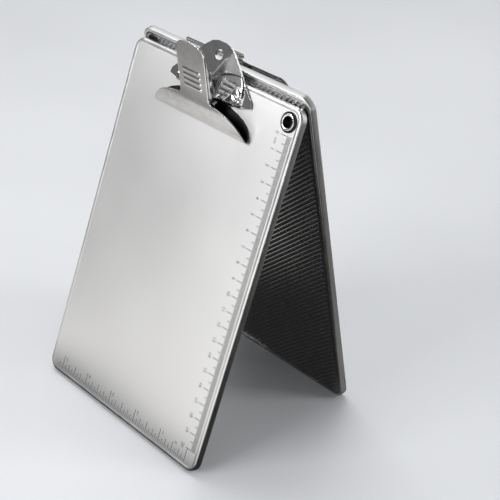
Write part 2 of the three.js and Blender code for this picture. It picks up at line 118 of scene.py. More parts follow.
def hole(centre, radius, count):
    """Clockwise circle."""
    a = -np.linspace(0, 2 * math.pi, count, endpoint=False)
    return np.stack([centre[0] + radius * np.cos(a), centre[1] + radius * np.sin(a)], 1)


def rivet_places(side):
    offset, y = RIVETS[side]
    return [(CX + s * offset, y) for s in (-1, 1)]


def rivet_holes(side, radius, count):
    return [hole(at, radius, count) for at in rivet_places(side)]


def round_poly(corners, step=8.0):
    """Closed polygon from (a, b, corner radius), its arcs cut about every step degrees."""
    points = np.array([c[:2] for c in corners], float)
    out = []
    for i, p in enumerate(points):
        radius = corners[i][2]
        u, v = points[i - 1] - p, points[(i + 1) % len(points)] - p
        len_u, len_v = np.linalg.norm(u), np.linalg.norm(v)
        u, v = u / len_u, v / len_v
        angle = math.acos(float(np.clip(u @ v, -1, 1)))
        if radius <= 0 or angle > math.pi - 1e-3:
            out.append(p)
            continue
        cut = min(radius / math.tan(angle / 2), 0.49 * len_u, 0.49 * len_v)
        radius = cut * math.tan(angle / 2)
        centre = p + (u + v) / np.linalg.norm(u + v) * (radius / math.sin(angle / 2))
        first = math.atan2(*(p + u * cut - centre)[::-1])
        last = math.atan2(*(p + v * cut - centre)[::-1])
        sweep = (last - first + math.pi) % (2 * math.pi) - math.pi
        count = max(2, int(abs(math.degrees(sweep)) / step))
        for k in range(count + 1):
            t = first + sweep * k / count
            out.append(centre + radius * np.array([math.cos(t), math.sin(t)]))
    return np.array(out)


def rectangle(x0, x1, y0, y1, radius, step):
    return round_poly([(x, y, radius) for x, y in ((x0, y0), (x1, y0), (x1, y1), (x0, y1))], step)


def smooth_line(points, per):
    """Catmull-Rom curve through points, with per steps in each span."""
    p = np.array(points, float)
    p = np.vstack([2 * p[0] - p[1], p, 2 * p[-1] - p[-2]])
    out = []
    for i in range(1, len(p) - 2):
        for k in range(per):
            t = k / per
            out.append(0.5 * (2 * p[i] + (p[i + 1] - p[i - 1]) * t
                              + (2 * p[i - 1] - 5 * p[i] + 4 * p[i + 1] - p[i + 2]) * t * t
                              + (3 * p[i] - p[i - 1] - 3 * p[i + 1] + p[i + 2]) * t ** 3))
    out.append(p[-2])
    return np.array(out)


def corner_fan(steps):
    """Counter-clockwise round the board's corners: arc centre x, y and outward direction."""
    for cx, cy, start in ((WIDTH - CORNER, CORNER, -90), (WIDTH - CORNER, HEIGHT - CORNER, 0),
                          (CORNER, HEIGHT - CORNER, 90), (CORNER, CORNER, 180)):
        for k in range(steps + 1):
            a = math.radians(start + 90 * k / steps)
            yield cx, cy, math.cos(a), math.sin(a)


def board_loop(inset):
    """The board's plan, counter-clockwise, pulled in by inset."""
    r = CORNER - inset
    return np.array([(cx + r * nx, cy + r * ny) for cx, cy, nx, ny in corner_fan(10)])


def left_offset(loop, distance):
    """Closed loop moved left: into the material for a ccw outer loop or a cw hole."""
    before = left_of(unit(loop - np.roll(loop, 1, 0)))
    after = left_of(unit(np.roll(loop, -1, 0) - loop))
    normal = unit(before + after)
    cos_half = np.clip((normal * before).sum(1), 0.4, 1)
    return loop + normal * (distance / cos_half)[:, None]


# ------------------------------------------------------------------ shapes
def ring_faces(rows, count, base=0):
    """Quads between successive closed rings of count points."""
    faces = []
    for i in range(rows - 1):
        low, high = base + i * count, base + (i + 1) * count
        for k in range(count):
            after = (k + 1) % count
            faces.append((low + k, low + after, high + after, high + k))
    return faces


def capped_faces(rows, count, base=0):
    """Ring faces closed by a polygon at each end."""
    last = base + (rows - 1) * count
    return ring_faces(rows, count, base) + [
        tuple(range(base, base + count))[::-1], tuple(range(last, last + count))]


def plate(loops, bottom, top, bevel, steps=2):
    """Flat sheet with rounded rims: loops[0] outer ccw, the others holes cw."""
    turns = [math.radians(90 * k / steps) for k in range(steps + 1)]
    levels = [(bevel * (1 - math.cos(t)), bottom + bevel - bevel * math.sin(t))
              for t in reversed(turns)]
    levels += [(bevel * (1 - math.cos(t)), top - bevel + bevel * math.sin(t)) for t in turns]
    verts, faces, lower, upper = [], [], [], []
    for loop in loops:
        n, base = len(loop), len(verts)
        for inset, z in levels:
            verts += [(x, y, z) for x, y in left_offset(loop, inset)]
        faces += ring_faces(len(levels), n, base)
        lower.append(list(range(base, base + n)))
        upper.append(list(range(base + (len(levels) - 1) * n, base + len(levels) * n)))
    for rims, faces_up in ((lower, False), (upper, True)):
        flat = [i for rim in rims for i in rim]
        outline = [[Vector((verts[i][0], verts[i][1], 0)) for i in rim] for rim in rims]
        for triangle in tessellate_polygon(outline):
            a, b, c = (flat[i] for i in triangle)
            pa, pb, pc = verts[a], verts[b], verts[c]
            twice_area = ((pb[0] - pa[0]) * (pc[1] - pa[1])
                          - (pb[1] - pa[1]) * (pc[0] - pa[0]))
            if abs(twice_area) >= 1e-9:
                faces.append((a, b, c) if (twice_area > 0) == faces_up else (a, c, b))
    return np.array(verts, float), faces


def lathe(profile, count=48, closed=True):
    """Solid of revolution about z; profile of (r, z), closed or ending on the axis."""
    verts, faces, rows = [], [], []
    for r, z in profile:
        if r < 1e-6:
            rows.append([len(verts)] * count)
            verts.append((0, 0, z))
        else:
            rows.append(list(range(len(verts), len(verts) + count)))
            verts += [(r * math.cos(t), r * math.sin(t), z)
                      for t in np.linspace(0, 2 * math.pi, count, endpoint=False)]
    for i in range(len(rows) if closed else len(rows) - 1):
        a, b = rows[i], rows[(i + 1) % len(rows)]
        for k in range(count):
            after = (k + 1) % count
            face = tuple(dict.fromkeys((a[k], a[after], b[after], b[k])))
            if len(face) >= 3:
                faces.append(face)
    return np.array(verts, float), faces


def shift(shape, move):
    return shape[0] + np.array(move, float), shape[1]


def turn_to_x(shape, x, y, z):
    """Turn the shape's own (x, y, z) to (y, z, x) and move it to the given place."""
    v, faces = shape
    return np.stack([v[:, 2] + x, v[:, 0] + y, v[:, 1] + z], 1), faces


def joined(*shapes):
    verts, faces, base = [], [], 0
    for v, shape_faces in shapes:
        verts.append(v)
        faces += [tuple(i + base for i in face) for face in shape_faces]
        base += len(v)
    return np.vstack(verts), faces


def tube(path, radius, sides):
    """Round wire along path; the path must start square to x. The ends are domed."""
    p = np.array(path, float)
    tangent = unit(np.gradient(p, axis=0))
    normal = unit(np.cross(tangent[0], [1, 0, 0]))
    dome = ((0.25, 0.97), (0.6, 0.8), (0.9, 0.44))    # reach, radius; both in wire radii
    rings = []
    for i, t in enumerate(tangent):
        normal = unit(normal - (normal @ t) * t)
        side = np.cross(t, normal)
        if i == 0:
            for reach, share in dome[::-1]:
                rings.append((p[0] - t * reach * radius, normal, side, share * radius))
        rings.append((p[i], normal, side, radius))
    for reach, share in dome:
        rings.append((p[-1] + t * reach * radius, normal, side, share * radius))
    verts = [centre + r * (math.cos(a) * u + math.sin(a) * v) for centre, u, v, r in rings
             for a in np.linspace(0, 2 * math.pi, sides, endpoint=False)]
    return np.array(verts), capped_faces(len(rings), sides)


def pressed_sheet(line, half_widths, thick, across, top_radius, under_radius,
                  lift=None, round_ends=True):
    """Pressed metal strip centred on CX.

    line holds the outer (y, z) points from the lower end up; across is the point count over
    the top; top_radius may vary by station; lift(x, y) moves the metal along its normal."""
    end_draw_in = 0.35             # how much narrower a rounded end gets
    tangent = unit(np.gradient(line, axis=0))
    normal = left_of(tangent)
    radii = np.broadcast_to(top_radius, len(line))
    stations = []                  # index, reach past it, half width, squeeze of the thickness

    def round_end(i, sign, degrees):
        for angle in degrees:
            c, s = math.cos(math.radians(angle)), math.sin(math.radians(angle))
            stations.append((i, sign * s * thick * 0.45,
                             half_widths[i] - (1 - c) * end_draw_in, c))

    if round_ends:
        round_end(0, -1, (80, 55, 28))
    stations += [(i, 0.0, half_widths[i], 1.0) for i in range(len(line))]
    if round_ends:
        round_end(len(line) - 1, 1, (28, 55, 80))
    top_turn = np.radians(np.linspace(90, 0, 6))[1:]
    under_turn = np.radians(np.linspace(0, -90, 4))
    rows = []
    for i, reach, w, squeeze in stations:
        r = min(radii[i], w * 0.45, thick * 0.95)
        q = min(under_radius, max(thick - r, 0.02))
        top = np.stack([np.linspace(-(w - r), w - r, across), np.zeros(across)], 1)
        rim = np.stack([w - r + r * np.cos(top_turn), -r + r * np.sin(top_turn)], 1)
        low_rim = np.stack([w - q + q * np.cos(under_turn),
                            -thick + q + q * np.sin(under_turn)], 1)
        under = np.stack([np.linspace(w - q, -(w - q), across)[1:-1],
                          np.full(across - 2, -thick)], 1)
        section = np.vstack([top, rim, low_rim, under, low_rim[::-1] * [-1, 1],
                             rim[::-1] * [-1, 1]])
        depth = -thick / 2 + (section[:, 1] + thick / 2) * squeeze
        if lift is not None:
            depth = depth + lift(section[:, 0], line[i][0])
        y, z = line[i] + tangent[i] * reach
        rows.append(np.stack([section[:, 0] + CX, y + normal[i][0] * depth,
                              z + normal[i][1] * depth], 1))
    return np.vstack(rows), capped_faces(len(rows), len(rows[0]))


# ------------------------------------------------------------------ meshes and objects
def to_mesh(shape, name="tmp"):
    me = bpy.data.meshes.new(name)
    me.from_pydata([tuple(map(float, v)) for v in shape[0]], [], [tuple(f) for f in shape[1]])
    me.update()
    bm = bmesh.new()
    bm.from_mesh(me)
    bmesh.ops.recalc_face_normals(bm, faces=bm.faces)
    bm.to_mesh(me)
    bm.free()
    return me


def mesh_points(me):
    co = np.zeros(len(me.vertices) * 3, np.float32)
    me.vertices.foreach_get("co", co)
    return co.reshape(-1, 3)


def evaluated_shape(obj, weld, dissolve=None):
    """Shape of the evaluated object, with doubles welded and slivers dissolved."""
    bpy.context.view_layer.update()
    depsgraph = bpy.context.evaluated_depsgraph_get()
    me = bpy.data.meshes.new_from_object(obj.evaluated_get(depsgraph))
    bm = bmesh.new()
    bm.from_mesh(me)
    bmesh.ops.remove_doubles(bm, verts=bm.verts, dist=weld)
    if dissolve:
        bmesh.ops.dissolve_degenerate(bm, edges=bm.edges, dist=dissolve)
    bm.to_mesh(me)
    bm.free()
    shape = mesh_points(me).astype(float), [tuple(p.vertices) for p in me.polygons]
    bpy.data.meshes.remove(me)
    return shape


def boolean(a, b, operation):
    objects = [bpy.data.objects.new(f"tmp_{i}", to_mesh(s)) for i, s in enumerate((a, b))]
    for obj in objects:
        bpy.context.scene.collection.objects.link(obj)
    cut = objects[0].modifiers.new("b", "BOOLEAN")
    cut.operation, cut.object, cut.solver = operation, objects[1], "EXACT"
    shape = evaluated_shape(objects[0], weld=1e-4, dissolve=1e-4)
    for obj in objects:
        bpy.data.objects.remove(obj)
    return shape


def drill(body, at, radius, count):
    cutter = lathe([(0, -3), (radius, -3), (radius, 5), (0, 5)], count, closed=False)
    return boolean(body, shift(cutter, (*at, 0)), "DIFFERENCE")


def add_cheeks(body, outline, pivot, bore, segments, inner_x, bevel):
    """Join two 1 mm side plates, inner_x each side of CX, bored round the pivot (y, z)."""
    cheek = plate([outline, hole(pivot, bore, segments)], 0, 1.0, bevel)
    for x in (CX + inner_x, CX - inner_x - 1.0):
        body = boolean(body, turn_to_x(cheek, x, 0, 0), "UNION")
    return body


def make_object(name, shape, side, finish, angle, painted_shade=None):
    """Object in the row frame; attribute loc keeps its board coordinates for the materials.

    angle is the sharp-edge angle. The last argument gives 0..1 per point: how far painted shade
    darkens the metal there."""
    me = to_mesh(shape, name)
    co = mesh_points(me)
    me.attributes.new("loc", "FLOAT_VECTOR", "POINT").data.foreach_set("vector", co.ravel())
    # per-point painted shade, stored for the metal material to darken
    if painted_shade is not None:
        amount = np.clip(painted_shade(co.astype(float)), 0, 1).astype(np.float32)
        me.attributes.new("painted_shade", "FLOAT", "POINT").data.foreach_set("value", amount)
    me.transform(PLACE[side])
    me.shade_smooth()
    me.set_sharp_from_angle(angle=math.radians(angle))
    me.materials.append(MATERIALS[finish])
    obj = bpy.data.objects.new(name, me)
    bpy.context.scene.collection.objects.link(obj)
    return obj


def part(side, name, node, shape, finish, angle, body="board", painted_shade=None):
    """Object that rides on a body and stands in for a CAD node."""
    obj = make_object(f"{side}_{name}", shape, side, finish, angle, painted_shade)
    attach(obj, f"{side}_{body}")
    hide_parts(f"{side}_{node}")


# ------------------------------------------------------------------ shader nodes
class Nodes:
    """Short-hand for building a node tree; a value may be a number, a tuple or a socket."""

    def __init__(self, name, kind="Material"):
        library = bpy.data.worlds if kind == "World" else bpy.data.materials
        self.owner, self.kind = library.new(name), kind
        self.owner.use_nodes = True
        self.tree = self.owner.node_tree
        self.tree.nodes.clear()

    def add(self, node_type, inputs=None, **props):
        node = self.tree.nodes.new(node_type)
        for key, value in props.items():
            setattr(node, key, value)
        for key, value in (inputs or {}).items():
            socket = node.inputs[key]
            if isinstance(value, bpy.types.NodeSocket):
                self.tree.links.new(value, socket)
            else:
                socket.default_value = (*value, 1) if socket.type == "RGBA" else value
        return node

    def math(self, operation, *values, clamp=False):
        return self.add("ShaderNodeMath", dict(enumerate(values)),
                        operation=operation, use_clamp=clamp).outputs[0]

    def plus(self, *values):
        return functools.reduce(lambda a, b: self.math("ADD", a, b), values)

    def times(self, *values):
        return functools.reduce(lambda a, b: self.math("MULTIPLY", a, b), values)

    def length(self, a, b):
        return self.math("SQRT", self.plus(self.times(a, a), self.times(b, b)))

    def coords(self, stretch, in_object=False):
        """Board coordinates, or object coordinates, in millimetres times stretch."""
        if in_object:
            source = self.add("ShaderNodeTexCoord").outputs["Object"]
            stretch = tuple(s * 1000 for s in stretch)
        else:
            source = self.add("ShaderNodeAttribute", attribute_name="loc").outputs["Vector"]
        return self.add("ShaderNodeVectorMath", {0: source, 1: stretch},
                        operation="MULTIPLY").outputs[0]

    def noise(self, stretch, detail, rough=0.5, distortion=0.0, in_object=False):
        """Noise whose frequency per millimetre along each axis is stretch."""
        return self.add("ShaderNodeTexNoise", {
            "Vector": self.coords(stretch, in_object), "Scale": 1.0, "Detail": detail,
            "Roughness": rough, "Distortion": distortion}).outputs[0]

    def span(self, value, within=(0.3, 0.7), to=(0, 1)):
        """Map one range to another, clamped."""
        return self.add("ShaderNodeMapRange", dict(enumerate((value, *within, *to))),
                        clamp=True).outputs[0]

    def split(self, vector):
        return self.add("ShaderNodeSeparateXYZ", {0: vector}).outputs

    def edges(self, sharpest):
        """Convex edges, from the mesh's pointiness."""
        pointed = self.add("ShaderNodeNewGeometry").outputs["Pointiness"]
        return self.span(pointed, (0.52, sharpest))

    def mix(self, factor, a, b):
        return self.add("ShaderNodeMix", {0: factor, 6: a, 7: b}, data_type="RGBA").outputs[2]

    def bump(self, height, depth_mm, strength, normal=None):
        inputs = {"Strength": strength, "Distance": depth_mm * 0.001, "Height": height}
        if normal is not None:
            inputs["Normal"] = normal
        return self.add("ShaderNodeBump", inputs).outputs[0]

    def surface(self, color, rough, metallic, normal=None, specular=None):
        inputs = {"Base Color": color, "Roughness": rough, "Metallic": metallic,
                  "Normal": normal, "Specular IOR Level": specular}
        inputs = {key: value for key, value in inputs.items() if value is not None}
        return self.add("ShaderNodeBsdfPrincipled", inputs).outputs[0]

    def finish(self, shader):
        self.add(f"ShaderNodeOutput{self.kind}", {0: shader})
        return self.owner


def grey(value, tint=(0, 0, 0)):
    return tuple(value + t for t in tint)


# ------------------------------------------------------------------ materials
def face_metal():
    """Satin aluminium: fine lengthwise grain, faint tonal cloud, a few hairline marks."""
    m = Nodes("face_metal")
    grain = m.noise((9, 0.35, 1), detail=4, rough=0.62)
    speck = m.noise((4.5, 4.5, 4.5), detail=3, rough=0.6)
    cloud = m.noise((0.016, 0.012, 0.02), detail=2)
    hair_up = m.noise((0.6, 0.02, 1), detail=5, rough=0.75, distortion=0.4)
    hair_across = m.noise((0.03, 0.7, 1), detail=5, rough=0.75, distortion=0.6)
    tone = m.plus(m.span(grain, to=(-0.03, 0.03)), m.span(cloud, to=(-0.02, 0.02)), 0.5)
    color = m.mix(tone, grey(0.80), grey(0.93, (0, 0.001, 0.003)))
    marks = m.math("ADD", m.span(hair_up, (0.66, 0.74)), m.span(hair_across, (0.69, 0.76)),
                   clamp=True)
    rough = m.plus(m.span(grain, (0.25, 0.75), to=(0.31, 0.41)),
                   m.span(cloud, to=(-0.02, 0.02)))
    rough = m.math("SUBTRACT", rough, m.times(marks, 0.05))
    height = m.plus(m.times(grain, 0.8), m.times(speck, 0.35))
    normal = m.bump(height, depth_mm=0.012, strength=0.5)
    return m.finish(m.surface(color, rough, metallic=1.0, normal=normal))


def polished(name, dark, light, rough, wave_mm, tint=(0, 0, 0), brush=(0.4, 0.4, 6)):
    """Bright metal: gentle waviness, hairlines, smudges, brighter edges, and areas of painted shade
    darkened to near black.
    """
    m = Nodes(name)
    wave = m.noise((0.11, 0.11, 0.11), detail=1.5, rough=0.4)
    fine = m.noise(brush, detail=4, rough=0.6)
    smudge = m.noise((0.14, 0.2, 0.17), detail=4, rough=0.6, distortion=0.8)
    hair = m.noise((2.2, 0.05, 0.3), detail=5, rough=0.8, distortion=0.5)
    worn = m.edges(0.60)
    color = m.mix(m.span(smudge), grey(dark, tint), grey(light, tint))
    color = m.mix(m.times(worn, 0.5), color, grey(min(light + 0.12, 0.95), tint))
    gloss = m.plus(m.span(smudge, (0.35, 0.72), to=(rough * 0.75, rough * 1.5)),
                   m.span(fine, to=(-0.02, 0.03)),
                   m.times(m.span(hair, (0.66, 0.74)), 0.12))
    gloss = m.math("ADD", gloss, m.times(worn, 0.05), clamp=True)
    # painted shade: near-black, rougher metal where the per-point attribute says
    painted_shade = m.add("ShaderNodeAttribute", attribute_name="painted_shade").outputs["Fac"]
    color = m.mix(painted_shade, color, grey(0.035))
    gloss = m.math("ADD", gloss, m.times(painted_shade, 0.3), clamp=True)
    normal = m.bump(wave, depth_mm=wave_mm, strength=0.25)
    normal = m.bump(fine, depth_mm=0.006, strength=0.35, normal=normal)
    return m.finish(m.surface(color, gloss, metallic=1.0, normal=normal))


def frame_metal():
    """Drawn bright edge profile with smudges and rubbed edges."""
    m = Nodes("frame_metal")
    grain = m.noise((0.25, 0.25, 7), detail=4, rough=0.6)
    smudge = m.noise((0.06, 0.06, 0.3), detail=4, rough=0.6, distortion=0.5)
    speck = m.noise((3, 3, 3), detail=3, rough=0.6)
    worn = m.edges(0.58)
    color = m.mix(m.span(smudge), grey(0.62), grey(0.74, (0, 0, 0.003)))
    color = m.mix(m.times(worn, 0.6), color, grey(0.86))
    rough = m.plus(m.span(grain, to=(0.27, 0.36)), m.span(smudge, to=(-0.03, 0.05)))
    height = m.plus(grain, m.times(speck, 0.3))
    normal = m.bump(height, depth_mm=0.008, strength=0.4)
    return m.finish(m.surface(color, rough, metallic=1.0, normal=normal))


def washer_black():
    """Black surface with a fine grain, slight fading and scuffs."""
    m = Nodes("washer_black")
    grain = m.noise((4.0, 4.0, 4.0), detail=5, rough=0.65)
    pits = m.add("ShaderNodeTexVoronoi", {"Vector": m.coords((1.9, 1.9, 1.9))})
    cloud = m.noise((0.03, 0.03, 0.03), detail=3, rough=0.55, distortion=0.6)
    scuff = m.noise((0.9, 0.06, 0.5), detail=5, rough=0.8, distortion=0.7)
    color = m.mix(m.span(cloud), grey(0.006), grey(0.0108, (0, 0, 0.001)))
    color = m.mix(m.times(m.span(scuff, (0.66, 0.78)), 0.35), color, grey(0.044))
    rough = m.plus(m.span(grain, to=(0.44, 0.58)), m.span(cloud, to=(-0.03, 0.04)))
    height = m.plus(grain, m.times(pits.outputs["Distance"], 0.4))
    normal = m.bump(height, depth_mm=0.012, strength=0.6)
    return m.finish(m.surface(color, rough, metallic=0.0, normal=normal, specular=0.18))


def back_metal():
    """Dark satin sheet, its dark colour partly painted shade between the boards, lighter on the rib
    crests as painted highlight.
    """
    m = Nodes("back_sheet")
    grain = m.noise((2.6, 2.6, 2.6), detail=4, rough=0.62)
    cloud = m.noise((0.03, 0.02, 0.03), detail=3, rough=0.55, distortion=0.5)
    z = m.split(m.coords((1, 1, 1)))[2]
    crest = m.span(z, (-4.93, -4.76), to=(1, 0))
    # painted highlight: lighter, slightly less metallic colour on the rib crests
    crest_highlight = m.times(crest, m.span(cloud, (0.25, 0.75), to=(0.75, 1.0)))
    # dark base colour, partly painted shade between the boards
    color = m.mix(m.span(cloud), grey(0.34), grey(0.40, (0, 0, 0.003)))
    color = m.mix(crest_highlight, color, grey(0.56))
    rough = m.plus(m.span(grain, to=(0.22, 0.30)), m.span(cloud, to=(-0.03, 0.03)))
    normal = m.bump(grain, depth_mm=0.01, strength=0.45)
    metallic = m.math("SUBTRACT", 1.0, m.times(crest_highlight, 0.04))
    return m.finish(m.surface(color, rough, metallic, normal))


def core_fibre():
    """Pressed fibre core: long fibres, matte."""
    m = Nodes("core")
    fibre = m.noise((0.5, 2.5, 4), detail=6, rough=0.7, distortion=1.2, in_object=True)
    fleck = m.noise((1.4, 1.4, 1.4), detail=3, rough=0.6, in_object=True)
    color = m.mix(m.span(fibre, (0.35, 0.7)), grey(0.012), grey(0.045, (0.003, 0.001, 0)))
    color = m.mix(m.span(fleck, (0.62, 0.75), to=(0, 0.6)), color,
                  grey(0.10, (0.01, 0.005, 0)))
    normal = m.bump(fibre, depth_mm=0.05, strength=0.7)
    return m.finish(m.surface(color, m.span(fleck, to=(0.7, 0.9)), metallic=0.0,
                              normal=normal))


def ruler_print():
    """Screen-printed dark ink, slightly uneven."""
    m = Nodes("ruler_print")
    grain = m.noise((2.5, 2.5, 2.5), detail=4, rough=0.6)
    cloud = m.noise((0.1, 0.1, 0.1), detail=2)
    color = m.mix(m.span(grain, (0.35, 0.7)), grey(0.018), grey(0.07))
    color = m.mix(m.span(cloud, (0.35, 0.75), to=(0, 0.4)), color, grey(0.11))
    normal = m.bump(grain, depth_mm=0.01, strength=0.4)
    return m.finish(m.surface(color, m.span(grain, to=(0.42, 0.6)), metallic=0.0,
                              normal=normal))


MATERIALS = {
    "face_metal": face_metal(),
    "frame_metal": frame_metal(),
    "clip_chrome": polished("clip_chrome", dark=0.62, light=0.71, rough=0.08, wave_mm=0.3,
                            tint=(0.008, 0.003, 0)),
    "spring_steel": polished("spring_steel", dark=0.34, light=0.46, rough=0.2, wave_mm=0.1,
                             tint=(0, 0, 0.004), brush=(5, 1, 1)),
    "eyelet_metal": polished("eyelet_metal", dark=0.80, light=0.88, rough=0.13, wave_mm=0.1),
    "washer_black": washer_black(),
    "back_sheet": back_metal(),
    "core": core_fibre(),
    "ruler_print": ruler_print(),
}

# ------------------------------------------------------------------ one board
# edge frame's section (inwards from the board's edge, z): bead and groove over the face
EDGE_BEAD = [(0.0, -1.35), (0.05, -0.92), (0.22, -0.5), (0.55, -0.17), (1.05, 0.02),
             (1.6, 0.05), (2.1, 0.0), (2.6, -0.08), (2.95, -0.14)]
# then the lip, side wall and back lip (inwards, z, corner radius)
EDGE_REST = [(2.95, -0.14, 0), (3.05, -0.17, 0.1), (3.14, -0.2, 0.03), (3.22, -0.3, 0.03),
             (3.22, -0.62, 0.05), (0.8, -0.62, 0.15), (0.8, -4.48, 0.15), (2.2, -4.48, 0.08),
             (2.2, -THICK, 0.12), (0.0, -THICK, 0.75), (0.0, -1.35, 0)]


def edge_frame(side):
    """Rolled metal edge, swept round the board's plan."""
    # both tables hold the two points where they meet
    section = np.vstack([smooth_line(EDGE_BEAD, 4), round_poly(EDGE_REST, 9.0)[1:-1]])
    fan = list(corner_fan(22))
    verts = [(cx + nx * (CORNER - inwards), cy + ny * (CORNER - inwards), z)
             for cx, cy, nx, ny in fan for inwards, z in section]
    m, n = len(section), len(fan)
    faces = []
    for i in range(n):
        j = (i + 1) % n
        for k in range(m):
            after = (k + 1) % m
            faces.append((i * m + k, j * m + k, j * m + after, i * m + after))
    part(side, "edge_frame_rolled", "edge_frame", (np.array(verts), faces), "frame_metal", 38)


def face_plate(side):
    loops = [board_loop(2.35), hole(EYELET_AT, 4.3, 48), *rivet_holes(side, 1.8, 24)]
    part(side, "face_sheet", "face_plate", plate(loops, -0.7, -0.1, bevel=0.12),
         "face_metal", 20)


RIB_PITCH, RIB_ANGLE = 2.5, math.radians(40.0)
RIB_MARGIN = 4.0                   # plain border round the ribs
RIB_RUN_OUT = 0.7                  # length over which a rib's end slopes down
RIB_FOOT_Z = -4.66
# rib section (share of the pitch, z)
RIB_SECTION = [(0.20, RIB_FOOT_Z), (0.30, -4.76), (0.40, -4.90), (0.50, -4.955),
               (0.62, -4.975), (0.74, -4.955), (0.84, -4.90), (0.94, -4.76),
               (1.04, RIB_FOOT_Z), (1.04, -4.60), (0.20, -4.60)]


def ribs(side):
    """Diagonal ribs that climb towards the row's +X, which is -x on the rear board."""
    along = np.array([math.cos(RIB_ANGLE) * (-1 if side == "rear" else 1),
                      math.sin(RIB_ANGLE)])
    across = np.array([-along[1], along[0]])
    centre = np.array([CX, HEIGHT / 2])
    samples = np.arange(-150.0, 150.0, 0.25)
    clearings = [(EYELET_AT, 6.4)] + [(at, 4.4) for at in rivet_places(side)]
    verts, faces = [], []
    for i in range(-58, 58):
        start = i * RIB_PITCH
        points = centre + along * samples[:, None] + across * (start + 0.62 * RIB_PITCH)
        # inside the rounded rectangle, and clear of the eyelet and rivets
        past = np.abs(points - centre) - (centre - CORNER)
        inside = (np.hypot(*np.maximum(past, 0).T) + np.minimum(past.max(1), 0)
                  < CORNER - RIB_MARGIN)
        for (x, y), radius in clearings:
            inside &= np.hypot(points[:, 0] - x, points[:, 1] - y) > radius
        changes = np.flatnonzero(np.diff(np.concatenate([[0], inside.astype(int), [0]])))
        for first, stop in zip(changes[::2], changes[1::2]):
            s0, s1 = samples[first], samples[stop - 1]
            if s1 - s0 < 2.0:
                continue
            faces += capped_faces(4, len(RIB_SECTION), len(verts))
            for s, full in ((s0, False), (s0 + RIB_RUN_OUT, True),
                            (s1 - RIB_RUN_OUT, True), (s1, False)):
                for share, z in RIB_SECTION:
                    p = centre + along * s + across * (start + share * RIB_PITCH)
                    verts.append((p[0], p[1], z if full else max(z, RIB_FOOT_Z)))
    return np.array(verts), faces


def back_sheet(side):
    loops = [board_loop(2.6), hole(EYELET_AT, 5.2, 48), *rivet_holes(side, 3.2, 32)]
    sheet = plate(loops, -4.72, -4.40, bevel=0.08)
    part(side, "back_sheet_ribbed", "back_sheet", joined(sheet, ribs(side)), "back_sheet", 24)


# sections (radius, z, corner radius)
EYELET_SECTION = [(3.3, -4.95, 0.3), (4.8, -4.95, 0.2), (4.8, -4.5, 0.1), (3.9, -4.5, 0.1),
                  (3.9, 0.55, 0.1), (4.95, 0.55, 0.2), (4.95, 1.45, 0.42), (3.3, 1.45, 0.8)]
WASHER_SECTION = [(4.1, -0.09, 0.05), (6.1, -0.09, 0.1), (6.1, 0.6, 0.3), (4.1, 0.6, 0.1)]


def eyelet(side):
    def painted_shade(v):
        """Painted shade: the bore, below its top rim, and the back flange."""
        radius = np.hypot(v[:, 0] - EYELET_AT[0], v[:, 1] - EYELET_AT[1])
        bore = smoothstep((3.62 - radius) / 0.2) * (v[:, 2] < 1.3)
        return np.maximum(bore, v[:, 2] < -4.2)

    def turned(section, step):
        return shift(lathe(round_poly(section, step), 72), (*EYELET_AT, 0))

    part(side, "eyelet_rolled", "eyelet", turned(EYELET_SECTION, 12.0), "eyelet_metal", 40,
         painted_shade=painted_shade)
    part(side, "eyelet_ring_black", "eyelet_washer", turned(WASHER_SECTION, 15.0),
         "washer_black", 40)


# ------------------------------------------------------------------ printed rulers
INK_Z = (-0.104, -0.078)
TEXT_Z = -0.088
NUMBER_SIZE, UNIT_SIZE = 3.5, 3.1
CM_ZERO_Y, CM_TICK_END, CM_TEXT_X = 212.8, 147.1, 135.6
INCH_ZERO_X, INCH_TICK_START = 140.2, 3.75
# ticks: every so many steps, where the tick's inner end lies, half width
CM_TICKS = ((10, 138.7, 0.22), (5, 141.1, 0.24), (1, 143.4, 0.29))
INCH_TICKS = ((16, 12.7, 0.22), (8, 10.6, 0.2), (4, 9.0, 0.18), (2, 7.4, 0.17), (1, 5.9, 0.15))


@functools.lru_cache(maxsize=None)
def text_shape(text, size):
    """Flat text, centred, as thin raised ink."""
    curve = bpy.data.curves.new("tmp_txt", "FONT")
    curve.body, curve.size, curve.resolution_u = text, size, 3
    curve.align_x, curve.align_y = "CENTER", "CENTER"
    curve.extrude = 0.012
    obj = bpy.data.objects.new("tmp_txt", curve)
    bpy.context.scene.collection.objects.link(obj)
    verts, faces = evaluated_shape(obj, weld=1e-5)
    bpy.data.objects.remove(obj)
    bpy.data.curves.remove(curve)
    return verts - (verts.min(0) + verts.max(0)) / 2 * [1, 1, 0], faces


def turned_text(text, size, at, degrees):
    v, faces = text_shape(text, size)
    c, s = math.cos(math.radians(degrees)), math.sin(math.radians(degrees))
    return np.stack([v[:, 0] * c - v[:, 1] * s + at[0], v[:, 0] * s + v[:, 1] * c + at[1],
                     v[:, 2] + TEXT_Z], 1), faces


def ink_bar(x0, x1, y0, y1):
    v = np.array([(x, y, z) for z in INK_Z
                  for x, y in ((x0, y0), (x1, y0), (x1, y1), (x0, y1))], float)
    taper = min(0.03, (x1 - x0) / 4, (y1 - y0) / 4)
    v[4:, 0] += np.array([taper, -taper, -taper, taper])
    v[4:, 1] += np.array([taper, taper, -taper, -taper])
    return v, [(3, 2, 1, 0), (4, 5, 6, 7), (0, 1, 5, 4), (1, 2, 6, 5), (2, 3, 7, 6),
               (3, 0, 4, 7)]


def tick(ticks, step):
    return next((end, half) for every, end, half in ticks if step % every == 0)


